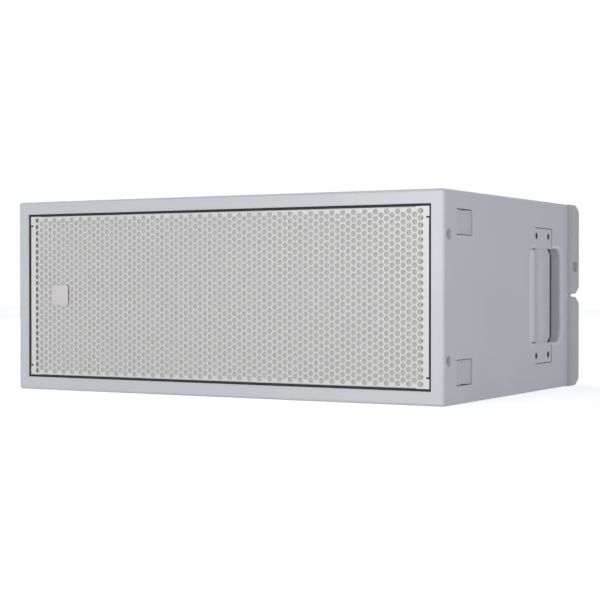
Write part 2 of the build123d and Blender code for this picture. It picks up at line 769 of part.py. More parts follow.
# ---------------------------------------------------------------- side handles
def make_handle(side_name, side):
    """Pressed cup in the side panel and the grip plate that spans it."""
    outward = Plane(origin=(side * half_width, 0, middle_z), x_dir=(0, 1, 0), z_dir=(side, 0, 0))
    pocket_middle = front_y + (handle_pocket_front + handle_pocket_back) / 2
    pocket_length = handle_pocket_back - handle_pocket_front
    deep_middle = front_y + (handle_ledge_back + handle_pocket_back) / 2
    deep_length = handle_pocket_back - handle_ledge_back
    front_middle = deep_middle - (deep_length / 2 + handle_cup_wall) / 2
    plate_middle = front_y + (handle_plate_front + handle_plate_back) / 2
    plate_length = handle_plate_back - handle_plate_front
    end_low = handle_pocket_height / 2 - grip_end_overlap
    end_height = handle_plate_height / 2 - end_low
    end_rise = end_low + end_height / 2
    with BuildPart() as cup:
        with BuildSketch(outward):
            with Locations((pocket_middle, 0)):
                RectangleRounded(
                    pocket_length + 2 * handle_rim_width,
                    handle_pocket_height + 2 * handle_rim_width,
                    handle_pocket_corner + handle_rim_width,
                )
        extrude(amount=-handle_ledge_depth - handle_cup_wall)
        with BuildSketch(outward):
            with Locations((deep_middle, 0)):
                RectangleRounded(
                    deep_length + 2 * handle_cup_wall,
                    handle_pocket_height + 2 * handle_cup_wall,
                    handle_pocket_corner + handle_cup_wall,
                )
            with Locations((front_middle, 0)):
                Rectangle(deep_length / 2 + handle_cup_wall, handle_pocket_height + 2 * handle_cup_wall)
        extrude(amount=-handle_pocket_depth - handle_cup_wall)
        with BuildSketch(outward):
            with Locations((pocket_middle, 0)):
                RectangleRounded(pocket_length, handle_pocket_height, handle_pocket_corner)
        extrude(amount=-handle_ledge_depth, mode=Mode.SUBTRACT)
        mouth = cup.faces().sort_by(Axis.X)[-1 if side > 0 else 0]
        fillet(mouth.inner_wires()[0].edges(), handle_rim_round)
        with BuildSketch(outward):
            with Locations((deep_middle, 0)):
                RectangleRounded(deep_length, handle_pocket_height, handle_pocket_corner)
            with Locations((deep_middle - deep_length / 4, 0)):
                Rectangle(deep_length / 2, handle_pocket_height)
        extrude(amount=-handle_pocket_depth, mode=Mode.SUBTRACT)
        with BuildSketch(outward):
            with Locations((plate_middle, end_rise), (plate_middle, -end_rise)):
                Rectangle(plate_length + 2 * handle_plate_side_gap, end_height + 2 * fit_gap)
        extrude(amount=-handle_recess_depth, mode=Mode.SUBTRACT)
        slot_z = (handle_pocket_height - ledge_slot_height) / 2
        with BuildSketch(outward.offset(-handle_ledge_depth)):
            with Locations((ledge_slot_y, slot_z), (ledge_slot_y, -slot_z)):
                Rectangle(ledge_slot_length, ledge_slot_height)
        extrude(amount=-handle_cup_wall, mode=Mode.SUBTRACT)
    save(cup, f"handle_cup_{side_name}")
    plate_face = Plane(origin=(side * plate_face_x, 0, middle_z), x_dir=(0, 1, 0), z_dir=(side, 0, 0))
    section = Plane(origin=(side * plate_face_x, 0, middle_z), x_dir=(0, 1, 0), z_dir=(0, 0, side))
    start_y = front_y + grip_front
    end_y = front_y + grip_back
    face_start = start_y + grip_front_round
    face_end = end_y - grip_back_round
    with BuildPart() as grip:
        with BuildSketch(plate_face):
            with Locations((plate_middle, end_rise), (plate_middle, -end_rise)):
                Rectangle(plate_length, end_height)
        extrude(amount=-handle_plate_thickness)
        with BuildSketch(section):
            with BuildLine():
                ThreePointArc((face_start, 0), ((start_y + end_y) / 2, grip_hollow), (face_end, 0))
                RadiusArc((face_end, 0), (end_y, grip_back_round), grip_back_round)
                Line((end_y, grip_back_round), (end_y, grip_thickness - grip_inner_round))
                RadiusArc(
                    (end_y, grip_thickness - grip_inner_round),
                    (end_y - grip_inner_round, grip_thickness),
                    grip_inner_round,
                )
                Line((end_y - grip_inner_round, grip_thickness), (start_y + grip_inner_round, grip_thickness))
                RadiusArc(
                    (start_y + grip_inner_round, grip_thickness),
                    (start_y, grip_thickness - grip_inner_round),
                    grip_inner_round,
                )
                Line((start_y, grip_thickness - grip_inner_round), (start_y, grip_front_round))
                RadiusArc((start_y, grip_front_round), (face_start, 0), grip_front_round)
            make_face()
        extrude(amount=handle_pocket_height / 2 - slip_gap, both=True)
        corner_z = handle_pocket_height / 2
        with BuildSketch(plate_face):
            with BuildLine():
                Polyline(
                    (end_y - grip_corner, corner_z),
                    (end_y, corner_z - grip_corner),
                    (end_y + 1, corner_z - grip_corner),
                    (end_y + 1, corner_z),
                    close=True,
                )
            make_face()
            mirror(about=Plane.XZ)
        extrude(amount=-grip_thickness, mode=Mode.SUBTRACT)
        with BuildSketch(plate_face):
            with Locations(*handle_screw_spots()):
                Circle(handle_screw_radius + fit_gap)
        extrude(amount=-handle_plate_thickness, mode=Mode.SUBTRACT)
        with BuildSketch(plate_face):
            with Locations(*handle_screw_spots()):
                Circle(handle_head_radius + fit_gap)
        extrude(amount=-handle_head_height - handle_head_sink, mode=Mode.SUBTRACT)
    save(grip, f"handle_bar_{side_name}")


def make_grip_trims():
    """Rubber strip behind the rear edge of each grip bar, turned forward at both ends."""
    edge_y = front_y + grip_back
    top = handle_pocket_height / 2 - slip_gap
    bend = handle_pocket_height / 2 - grip_corner + fit_gap
    lean = top - bend
    with BuildPart() as trims:
        for side in sides.values():
            face = Plane(origin=(side * plate_face_x, 0, middle_z), x_dir=(0, 1, 0), z_dir=(side, 0, 0))
            with BuildSketch(face.offset(-trim_sink)):
                with BuildLine():
                    Polyline(
                        (edge_y + fit_gap, 0),
                        (edge_y + fit_gap, bend),
                        (edge_y - lean + fit_gap, top),
                        (edge_y - lean + trim_width, top),
                        (edge_y + trim_width, bend),
                        (edge_y + trim_width, 0),
                        close=True,
                    )
                make_face()
                mirror(about=Plane.XZ)
            extrude(amount=-trim_depth)
    save(trims, "grip_trims")


def make_handle_screws():
    """Socket screws through the ends of both handle plates into the side panels."""
    with BuildPart() as screws:
        for side in sides.values():
            origin = (side * (plate_face_x - handle_head_sink), 0, middle_z)
            face = Plane(origin=origin, x_dir=(0, 1, 0), z_dir=(side, 0, 0))
            with BuildSketch(face):
                with Locations(*handle_screw_spots()):
                    Circle(handle_head_radius)
            extrude(amount=-handle_head_height)
            with BuildSketch(face):
                with Locations(*handle_screw_spots()):
                    RegularPolygon(handle_head_radius * 0.5, 6)
            extrude(amount=-handle_head_height * 0.7, mode=Mode.SUBTRACT)
            with BuildSketch(face.offset(-handle_head_height)):
                with Locations(*handle_screw_spots()):
                    Circle(handle_screw_radius)
            extrude(amount=-handle_screw_length)
    save(screws, "handle_screws")


# ---------------------------------------------------------------- front rigging
def make_link_channel(name, side):
    """Guide for the front link: four welded plates and a stop, open at the top and the bottom."""
    low_y = pin_y - channel_length / 2
    high_y = pin_y + channel_length / 2
    plate_x = at_side(side, channel_x + channel_wall + fit_gap, inner_x - channel_wall - fit_gap)
    stop_top = upper_pin_z - link_travel - link_end
    outward = Plane(origin=(side * inner_x, pin_y, 0), x_dir=(0, side, 0), z_dir=(side, 0, 0))
    with BuildPart() as channel:
        for near in (channel_x, inner_x - channel_wall):
            span_box(at_side(side, near, near + channel_wall), (low_y, high_y), (0, cabinet_height))
        with BuildSketch(outward):
            with Locations((0, upper_pin_z), (0, lower_pin_z)):
                Circle(pin_radius + link_hole_play)
        extrude(amount=-channel_width, mode=Mode.SUBTRACT)
        for near in (low_y, high_y - channel_wall):
            span_box(plate_x, (near, near + channel_wall), (0, cabinet_height))
        stop_back = high_y - channel_wall - fit_gap
        stop_y = (stop_back - channel_stop_deep, stop_back)
        span_box(plate_x, stop_y, (stop_top - channel_stop_height, stop_top))
    save(channel, name)


def make_front_link(name, side):
    """Flat steel link with a pin hole at each end; it rests on the stop in its channel."""
    bottom = upper_pin_z - link_travel - link_end
    top = upper_pin_z + link_end
    face = Plane(origin=(side * link_x, pin_y, 0), x_dir=(0, 1, 0), z_dir=(1, 0, 0))
    with BuildPart() as link:
        with BuildSketch(face):
            with Locations((0, (bottom + top) / 2)):
                RectangleRounded(link_width, top - bottom, 3)
            with Locations((0, upper_pin_z), (0, upper_pin_z - link_travel)):
                Circle(pin_radius + link_hole_play, mode=Mode.SUBTRACT)
        extrude(amount=link_thickness / 2, both=True)
    save(link, name)


def make_pin_bushes():
    """Steel bushes that line the four pin holes, with a wide chamfer at the mouth."""
    with BuildPart() as bushes:
        for side in sides.values():
            origin = (side * (half_width - bush_sink), pin_y, middle_z)
            face = Plane(origin=origin, x_dir=(0, 1, 0), z_dir=(side, 0, 0))
            with BuildSketch(face):
                with Locations((0, pin_rise), (0, -pin_rise)):
                    Circle(bush_radius - fit_gap / 2)
                    Circle(pin_radius, mode=Mode.SUBTRACT)
            extrude(amount=bush_sink - panel_thickness)
            with BuildSketch(face):
                with Locations((0, pin_rise), (0, -pin_rise)):
                    Circle(bush_radius)
                    Circle(bush_radius - bush_groove, mode=Mode.SUBTRACT)
            extrude(amount=-bush_groove_depth, mode=Mode.SUBTRACT)
        mouths = bushes.edges().filter_by(GeomType.CIRCLE)
        mouths = mouths.filter_by(lambda edge: edge.radius < pin_radius + fit_gap)
        mouths = mouths.filter_by(lambda edge: abs(edge.center().X) > half_width - panel_thickness / 2)
        chamfer(mouths, bush_chamfer)
    save(bushes, "pin_bushes")


def make_finger_tab(name, side, level):
    """Sprung tab in its pocket: a finger ridge at the front and a dished pad behind it."""
    length = tab_back - tab_front - 2 * slip_gap
    height = tab_high - tab_low - 2 * tab_edge_gap
    origin = (side * half_width, front_y + tab_front + slip_gap, middle_z + level * (tab_low + tab_high) / 2)
    section = Plane(origin=origin, x_dir=(0, 1, 0), z_dir=(0, 0, side))
    with BuildPart() as tab:
        with BuildSketch(section):
            with BuildLine():
                Polyline(
                    (0, tab_base),
                    (0, tab_front_sink),
                    (tab_ridge, -tab_ridge_proud),
                    (tab_valley, tab_valley_sink),
                    (length, tab_back_sink),
                    (length, tab_base),
                    close=True,
                )
            make_face()
        extrude(amount=height / 2, both=True)
        upright = tab.edges().filter_by(Axis.Z).sort_by(Axis.Y)
        fillet(upright[2], tab_ridge_round)
        upright = tab.edges().filter_by(Axis.Z).sort_by(Axis.Y)
        valley = upright.sort_by(lambda edge: abs(edge.center().Y - section.origin.Y - tab_valley))[0]
        fillet(valley, tab_valley_round)
        front = tab.edges().filter_by(Axis.Z).group_by(Axis.Y)[0]
        fillet(front.sort_by(Axis.X)[-1 if side > 0 else 0], tab_front_round)
    save(tab, name)


# ---------------------------------------------------------------- rear rigging
def make_rear_bracket():
    """Base plate and two cheeks that carry the rear link's pivot."""
    pivot_y = rear_y + rear_bar_standoff
    cheek_in = rear_bar_thickness / 2 + slip_gap
    with BuildPart() as bracket:
        span_box(
            (-bracket_width / 2, bracket_width / 2),
            (rear_y, rear_y + bracket_thickness),
            (bracket_top - bracket_height, bracket_top),
        )
        for side in sides.values():
            span_box(
                at_side(side, cheek_in, cheek_in + cheek_thickness),
                (rear_y, pivot_y + 12),
                (rear_bar_height - 20, rear_bar_height + 14),
            )
        with BuildSketch(Plane(origin=(0, pivot_y, rear_bar_height), x_dir=(0, 1, 0), z_dir=(1, 0, 0))):
            Circle(rear_pin_radius + fit_gap / 2)
        extrude(amount=cheek_in + cheek_thickness, both=True, mode=Mode.SUBTRACT)
    save(bracket, "rear_link_bracket")


def make_rear_link():
    """Rear link bar, folded down, and the pin that it swings on."""
    pivot_y = rear_y + rear_bar_standoff
    plane = Plane(origin=(0, pivot_y, rear_bar_height), x_dir=(0, 1, 0), z_dir=(1, 0, 0))
    reach = rear_bar_length + rear_bar_width
    with BuildPart() as bar:
        with BuildSketch(plane):
            with Locations((0, -rear_bar_length / 2)):
                RectangleRounded(rear_bar_width, reach, rear_bar_width / 2 - 0.1)
            Circle(rear_pin_radius + fit_gap / 2, mode=Mode.SUBTRACT)
            with Locations(*[(0, -rear_bar_length + step * 16) for step in range(4)]):
                Circle(pin_radius + fit_gap, mode=Mode.SUBTRACT)
        extrude(amount=rear_bar_thickness / 2, both=True)
    save(bar, "rear_link_bar")
    half_pin = rear_bar_thickness / 2 + slip_gap + cheek_thickness
    with BuildPart() as pin:
        with BuildSketch(plane):
            Circle(rear_pin_radius)
        extrude(amount=half_pin + 2.5, both=True)
        for side in sides.values():
            with BuildSketch(plane.offset(side * half_pin)):
                Circle(rear_pin_radius + 2.5)
            extrude(amount=side * 2.5)
    save(pin, "rear_link_pin")


# ---------------------------------------------------------------- rear bumpers
def make_bumper(name, side, level):
    """Chamfered block behind one corner, with a tongue that shuts the front of the gap between two.

    The upper ones have a shallow window in the side.
    """
    near = bumper_gap / 2
    far = middle_z
    outer_x = half_width + bumper_proud
    inner_edge = outer_x - bumper_width
    deep = rear_y + bumper_depth
    with BuildPart() as bumper:
        with BuildSketch(Plane.YZ.offset(side * inner_edge)):
            with BuildLine():
                Polyline(
                    (rear_y, middle_z + level * near),
                    (deep - bumper_chamfer_deep, middle_z + level * near),
                    (deep, middle_z + level * (near + bumper_chamfer_high)),
                    (deep, middle_z + level * (far - bumper_chamfer_high)),
                    (deep - bumper_chamfer_deep, middle_z + level * far),
                    (rear_y, middle_z + level * far),
                    close=True,
                )
            make_face()
        extrude(amount=side * bumper_width)
        outer_face = bumper.faces().sort_by(Axis.X)[-1 if side > 0 else 0]
        fillet(outer_face.edges(), bumper_edge_round)
        span_box(
            at_side(side, inner_edge, outer_x - bumper_tongue_sink),
            (rear_y, rear_y + bumper_tongue_depth),
            sorted((middle_z + level * fit_gap, middle_z + level * 2 * near)),
        )
        if level > 0:
            window_y = rear_y + bumper_window_middle
            window_z = middle_z + bumper_window_rise
            span_box(
                at_side(side, outer_x - bumper_window_deep, outer_x),
                (window_y - bumper_window_length / 2, window_y + bumper_window_length / 2),
                (window_z - bumper_window / 2, window_z + bumper_window / 2),
                Mode.SUBTRACT,
            )
        face = Plane(origin=(0, deep, middle_z), x_dir=(-1, 0, 0), z_dir=(0, 1, 0))
        with BuildSketch(face):
            with Locations(*bumper_screw_spots(side, level)):
                Circle(bumper_head_radius + fit_gap)
        extrude(amount=-bumper_depth / 2, mode=Mode.SUBTRACT)
        with BuildSketch(face):
            with Locations(*bumper_screw_spots(side, level)):
                Circle(bumper_screw_radius + fit_gap)
        extrude(amount=-bumper_depth, mode=Mode.SUBTRACT)
    save(bumper, name)


def bumper_screw_spots(side, level):
    """Two screws in each bumper, in the plane of the back, where X runs to the left."""
    across = -side * (half_width + bumper_proud - bumper_width / 2)
    return [(across, level * middle_z * share) for share in (0.25, 0.75)]


def make_rear_screws():
    """Screws sunk in the bumpers and driven up to the rear panel, and the connector plate's four."""
    seat = Plane(origin=(0, rear_y + bumper_depth / 2, middle_z), x_dir=(-1, 0, 0), z_dir=(0, 1, 0))
    back = Plane(origin=(0, rear_y + plate_thickness, 0), x_dir=(-1, 0, 0), z_dir=(0, 1, 0))
    with BuildPart() as screws:
        for side in sides.values():
            for level in levels.values():
                with BuildSketch(seat):
                    with Locations(*bumper_screw_spots(side, level)):
                        Circle(bumper_head_radius)
                extrude(amount=bumper_head_height)
                with BuildSketch(seat):
                    with Locations(*bumper_screw_spots(side, level)):
                        Circle(bumper_screw_radius)
                extrude(amount=-bumper_depth / 2)
        with BuildSketch(back):
            with Locations(*plate_screw_spots()):
                Circle(plate_head_radius)
        extrude(amount=plate_head_height)
        with BuildSketch(back):
            with Locations(*plate_screw_spots()):
                Circle(plate_screw_radius)
        extrude(amount=-plate_thickness - plate_screw_bite)
    save(screws, "rear_screws")


# ---------------------------------------------------------------- connections and crossover
def socket_centres():
    """The input and the link-through socket, side by side, seen along Y."""
    return [plate_x - socket_spacing / 2, plate_x + socket_spacing / 2]


def make_connector_plate():
    """Steel plate over the opening in the rear panel."""
    back = Plane(origin=(0, rear_y + plate_thickness, 0), x_dir=(-1, 0, 0), z_dir=(0, 1, 0))
    with BuildPart() as plate:
        with BuildSketch(back):
            with Locations((-plate_x, middle_z)):
                RectangleRounded(plate_width, plate_height, 4)
            with Locations(*[(-x, middle_z) for x in socket_centres()]):
                Circle(socket_barrel_radius + fit_gap, mode=Mode.SUBTRACT)
            with Locations(*plate_screw_spots()):
                Circle(plate_screw_radius + fit_gap, mode=Mode.SUBTRACT)
        extrude(amount=-plate_thickness)
    save(plate, "connector_plate")


def make_socket(name, centre):
    """Round twist-lock loudspeaker socket: flange, barrel and contact post."""
    face = Plane(
        origin=(centre, rear_y + plate_thickness, middle_z), x_dir=(-1, 0, 0), z_dir=(0, 1, 0)
    )
    with BuildPart() as socket:
        with BuildSketch(face):
            RectangleRounded(socket_flange, socket_flange, 3)
        extrude(amount=socket_flange_thickness)
        with BuildSketch(face):
            Circle(socket_barrel_radius)
        extrude(amount=-socket_depth)
        with BuildSketch(face.offset(socket_flange_thickness)):
            Circle(socket_bore_radius)
        extrude(amount=-socket_depth, mode=Mode.SUBTRACT)
        with BuildSketch(face.offset(-socket_depth)):
            Circle(socket_post_radius)
        extrude(amount=socket_post_length)
    save(socket, name)


def make_crossover():
    """Crossover board on four spacers, with its coils and capacitors."""
    board_z = floor_z + board_rise
    top_z = board_z + board_thickness
    with BuildPart() as board:
        with BuildSketch(Plane.XY.offset(board_z)):
            with Locations((0, board_y)):
                Rectangle(board_width, board_length)
        extrude(amount=board_thickness)
        with BuildSketch(Plane.XY.offset(floor_z)):
            with Locations((0, board_y)):
                with GridLocations(board_width - 12, board_length - 12, 2, 2):
                    Circle(4)
        extrude(amount=board_rise)
    save(board, "crossover_board")
    with BuildPart() as parts:
        coil_spots = [(-26, board_y - 28), (26, board_y - 28), (-26, board_y + 24)]
        with BuildSketch(Plane.XY.offset(top_z)):
            with Locations(*coil_spots):
                Circle(18)
                Circle(7, mode=Mode.SUBTRACT)
        extrude(amount=16)
        with BuildSketch(Plane.XY.offset(top_z)):
            with Locations((14, board_y + 30), (32, board_y + 30), (14, board_y + 8), (32, board_y + 8)):
                Circle(7)
        extrude(amount=28)
    save(parts, "crossover_parts")


# ---------------------------------------------------------------- build every piece
make_cross_panel("top_panel", 1)
make_cross_panel("bottom_panel", -1)
make_front_baffle()
make_rear_panel()
make_lining()
make_grille()
make_grille_foam()
make_grille_gasket()
make_badge()
for side_name, side in sides.items():
    make_side_panel(f"side_panel_{side_name}", side)
    make_brace(f"brace_{side_name}", side)
    make_basket(f"woofer_{side_name}_basket", side * woofer_x)
    make_motor(f"woofer_{side_name}", side * woofer_x)
    make_cone(f"woofer_{side_name}", side * woofer_x)
    make_suspension(f"woofer_{side_name}", side * woofer_x)
    make_handle(side_name, side)
    make_link_channel(f"link_channel_{side_name}", side)
    make_front_link(f"front_link_{side_name}", side)
    for level_name, level in levels.items():
        make_finger_tab(f"finger_tab_{level_name}_{side_name}", side, level)
        make_bumper(f"rear_bumper_{level_name}_{side_name}", side, level)
make_waveguide()
make_baffle_screws()
make_compression_drivers()
make_handle_screws()
make_grip_trims()
make_pin_bushes()
make_rear_bracket()
make_rear_link()
make_rear_screws()
make_connector_plate()
for socket_name, centre in zip(("through_socket", "input_socket"), socket_centres()):
    make_socket(socket_name, centre)
make_crossover()
print("pieces written:", len(os.listdir("parts")))
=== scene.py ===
# %% [markdown]
# # A light grey line array speaker
#
# The frame comes first: every piece of the speaker already stands at its real place and size.
# This lesson gives each piece its finish, swaps the plain grille sheet for a perforated one, and
# sets up the light, the floor and the camera. All lengths are metres, so a helper turns
# millimetres, the unit of a workshop drawing, into metres.

# %% Load the frame
import json
import math

import bmesh
import bpy
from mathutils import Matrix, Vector
from mathutils.geometry import delaunay_2d_cdt


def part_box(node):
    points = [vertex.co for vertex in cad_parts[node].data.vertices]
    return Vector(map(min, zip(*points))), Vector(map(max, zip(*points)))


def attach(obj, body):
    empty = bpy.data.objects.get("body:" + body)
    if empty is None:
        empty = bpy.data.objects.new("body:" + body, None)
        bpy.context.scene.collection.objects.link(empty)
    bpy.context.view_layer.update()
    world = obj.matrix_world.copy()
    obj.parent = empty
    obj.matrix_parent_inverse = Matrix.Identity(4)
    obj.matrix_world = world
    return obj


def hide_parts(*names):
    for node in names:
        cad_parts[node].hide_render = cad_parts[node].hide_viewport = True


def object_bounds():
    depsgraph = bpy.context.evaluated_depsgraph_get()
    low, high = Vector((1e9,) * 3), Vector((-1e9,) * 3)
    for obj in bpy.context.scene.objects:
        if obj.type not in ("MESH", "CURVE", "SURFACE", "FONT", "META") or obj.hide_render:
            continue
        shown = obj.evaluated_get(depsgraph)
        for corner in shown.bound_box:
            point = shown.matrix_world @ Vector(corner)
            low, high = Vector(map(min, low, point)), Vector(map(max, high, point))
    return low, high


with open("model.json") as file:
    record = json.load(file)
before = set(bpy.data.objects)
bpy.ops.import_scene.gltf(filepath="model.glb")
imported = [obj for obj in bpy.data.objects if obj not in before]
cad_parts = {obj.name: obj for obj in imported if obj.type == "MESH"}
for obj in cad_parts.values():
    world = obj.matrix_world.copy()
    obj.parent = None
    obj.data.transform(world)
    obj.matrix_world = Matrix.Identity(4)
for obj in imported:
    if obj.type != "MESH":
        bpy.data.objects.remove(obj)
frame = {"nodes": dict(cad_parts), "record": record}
nodes = frame["nodes"]
cad_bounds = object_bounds()


def mm(value):
    """Millimetres as metres."""
    return value / 1000


# %% [markdown]
# Colours are written the way a paint chart gives them, as sRGB hex values. Cycles works with
# linear light, so one function converts them. Another makes a material and hands back its shader,
# and a third adds one node with its settings and everything that feeds it. With these three,
# each finish below is a short list of facts.

# %% Helpers for materials
def linear(hex_colour):
    """An sRGB hex colour as linear RGBA."""
    channels = [int(hex_colour[i : i + 2], 16) / 255 for i in (1, 3, 5)]
    return [c / 12.92 if c <= 0.04045 else ((c + 0.055) / 1.055) ** 2.4 for c in channels] + [1]


def start_material(name, colour, roughness, metallic=0.0, ior=1.5):
    """A new material, its node tree and its shader, with the plain values set."""
    material = bpy.data.materials.new(name)
    material.use_nodes = True
    material.diffuse_color = linear(colour)
    tree = material.node_tree
    shader = tree.nodes["Principled BSDF"]
    shader.inputs["Base Color"].default_value = linear(colour)
    shader.inputs["Roughness"].default_value = roughness
    shader.inputs["Metallic"].default_value = metallic
    shader.inputs["IOR"].default_value = ior
    return material, tree, shader


def add(tree, kind, inputs=None, **settings):
    """Add one node. An input is a plain value or the output socket that feeds it."""
    node = tree.nodes.new(kind)
    for name, value in settings.items():
        setattr(node, name, value)
    for name, value in (inputs or {}).items():
        if isinstance(value, bpy.types.NodeSocket):
            tree.links.new(value, node.inputs[name])
        else:
            node.inputs[name].default_value = value
    return node


def per_metre(size_mm):
    """The texture scale that makes one feature about this many millimetres wide."""
    return 1 / mm(size_mm)


def place(tree):
    """The point on the object, in metres, which every pattern is measured from."""
    return add(tree, "ShaderNodeTexCoord").outputs["Object"]


materials = {}

# %% [markdown]
# ## Satin paint on birch plywood
# Speaker paint is a water-based polyurethane, rolled or sprayed over filled plywood. It dries to a
# satin film with a faint orange peel, about 1.4 mm from bump to bump. Fine grit under it gives a
# second, smaller texture. A slow drift in tone, a few hundredths, keeps the flat sides from
# looking like plastic sheet.

# %% Painted plywood
PAINT = "#D1D3D7"
PAINT_DARK = "#C7C9CE"
DRIFT_MM = 90
GRIT_MM = 0.35
GRIT_SHARE = 0.3


def paint_film(tree, shader, light, dark, peel_mm, peel_height_mm):
    """Tone drift, orange peel and grit of a film of paint or powder coat."""
    where = place(tree)
    drift = add(
        tree, "ShaderNodeTexNoise", {"Vector": where, "Scale": per_metre(DRIFT_MM), "Detail": 3}
    ).outputs["Fac"]
    tone = add(
        tree,
        "ShaderNodeMix",
        {0: drift, 6: linear(dark), 7: linear(light)},
        data_type="RGBA",
    )
    tree.links.new(tone.outputs[2], shader.inputs["Base Color"])
    peel = add(tree, "ShaderNodeTexNoise", {"Vector": where, "Scale": per_metre(peel_mm), "Detail": 1})
    grit = add(tree, "ShaderNodeTexNoise", {"Vector": where, "Scale": per_metre(GRIT_MM), "Detail": 2})
    both = add(
        tree,
        "ShaderNodeMath",
        {0: grit.outputs["Fac"], 1: GRIT_SHARE, 2: peel.outputs["Fac"]},
        operation="MULTIPLY_ADD",
    )
    bump = add(
        tree,
        "ShaderNodeBump",
        {"Height": both.outputs[0], "Strength": 0.5, "Distance": mm(peel_height_mm)},
    )
    tree.links.new(bump.outputs["Normal"], shader.inputs["Normal"])


material, tree, shader = start_material("satin_paint_on_birch", PAINT, 0.36)
paint_film(tree, shader, PAINT, PAINT_DARK, 1.4, 0.05)
materials["painted_plywood"] = material
print("made", material.name)

# %% [markdown]
# ## Powder coat on sheet steel
# The grille, the handle plates and the rigging are folded or pressed steel with a baked powder
# coat. Its orange peel is finer and flatter than that of the paint on the wood. The grille is a touch
# lighter than the wood and the hardware almost the same grey. The pressed cup behind each grip gets
# a lighter copy of the same coat: painted light, so that it doesn't go dark where little light reaches
# it.

# %% Powder-coated steel
POWDER = "#E2E1DF"
POWDER_DARK = "#DBDAD9"
material, tree, shader = start_material("powder_coat_on_steel", POWDER, 0.36)
paint_film(tree, shader, POWDER, POWDER_DARK, 0.9, 0.03)
materials["painted_sheet_steel"] = material

HARDWARE = "#CFD1D5"
HARDWARE_DARK = "#C7CACE"
material, tree, shader = start_material("powder_coat_on_handle", HARDWARE, 0.34)
paint_film(tree, shader, HARDWARE, HARDWARE_DARK, 0.8, 0.03)
materials["painted_hardware"] = material

# A lighter copy of the hardware coat: painted light for the shaded inside of the handle cups.
CUP_LIGHTENED_FOR_SHADE = "#E4E6E9"
CUP_LIGHTENED_FOR_SHADE_DARK = "#DDDFE3"
material, tree, shader = start_material("powder_coat_in_cup_painted_light", CUP_LIGHTENED_FOR_SHADE, 0.3)
paint_film(tree, shader, CUP_LIGHTENED_FOR_SHADE, CUP_LIGHTENED_FOR_SHADE_DARK, 0.8, 0.02)
materials["cup_coat_painted_light"] = material
print("made", material.name)

# %% [markdown]
# ## Open-cell foam
# Acoustic foam behind a grille lets sound through and hides the drivers. Its surface is a web of
# cut cells, about 1 mm across. A Voronoi pattern measured to the nearest cell edge gives just
# that: thin walls round pores. The pores are coloured darker than the walls, which is painted shade
# in the cells, on top of the bump.

# %% Grille foam
FOAM = "#C6C6C3"
# The wall and pore tones are painted light and painted shade on one foam colour.
CELL_WALL_LIT_TONE = "#D2D1CE"
CELL_PORE_SHADE_TONE = "#BABAB7"
CELL_MM = 1.1
material, tree, shader = start_material("open_cell_foam", FOAM, 0.95)
where = place(tree)
cells = add(
    tree,
    "ShaderNodeTexVoronoi",
    {"Vector": where, "Scale": per_metre(CELL_MM)},
    feature="DISTANCE_TO_EDGE",
)
walls = add(tree, "ShaderNodeMapRange", {"Value": cells.outputs["Distance"], "From Max": 0.35})
# Painted shade: darker colour in the pores, lighter on the cell walls.
foam_painted_pore_shade = add(
    tree,
    "ShaderNodeMix",
    {0: walls.outputs["Result"], 6: linear(CELL_WALL_LIT_TONE), 7: linear(CELL_PORE_SHADE_TONE)},
    data_type="RGBA",
)
tree.links.new(foam_painted_pore_shade.outputs[2], shader.inputs["Base Color"])
bump = add(
    tree,
    "ShaderNodeBump",
    {"Height": walls.outputs["Result"], "Strength": 0.8, "Distance": mm(0.4)},
    invert=True,
)
tree.links.new(bump.outputs["Normal"], shader.inputs["Normal"])
shader.inputs["Sheen Weight"].default_value = 0.2
materials["grey_foam"] = material
print("made", material.name)

# %% [markdown]
# ## Rubber
# The grille seal, the trims on the grips and the woofer surrounds are carbon-black rubber: almost no
# colour, a soft broad shine and a fine bloom that makes some patches a little duller.

# %% Rubber
BLOOM_MM = 6
PORE_MM = 0.4
material, tree, shader = start_material("carbon_black_rubber", "#121212", 0.7)
where = place(tree)
bloom = add(tree, "ShaderNodeTexNoise", {"Vector": where, "Scale": per_metre(BLOOM_MM), "Detail": 4})
dull = add(
    tree, "ShaderNodeMapRange", {"Value": bloom.outputs["Fac"], "To Min": 0.6, "To Max": 0.85}
)
tree.links.new(dull.outputs["Result"], shader.inputs["Roughness"])
pores = add(tree, "ShaderNodeTexNoise", {"Vector": where, "Scale": per_metre(PORE_MM)})
bump = add(
    tree, "ShaderNodeBump", {"Height": pores.outputs["Fac"], "Strength": 0.4, "Distance": mm(0.03)}
)
tree.links.new(bump.outputs["Normal"], shader.inputs["Normal"])
materials["black_rubber"] = material
print("made", material.name)

# %% [markdown]
# ## Cast polyurethane
# The four feet at the back are cast in grey polyurethane, a tough rubbery plastic that takes a
# knock without chipping. It is cast in a polished mould, so it is smoother than paint, but soft
# enough to go dull: a broad sheen, faint flow clouds some 20 mm across, and fine scuffs where the
# cabinet has stood on them. The colour is mixed through, and is a shade darker than the paint.

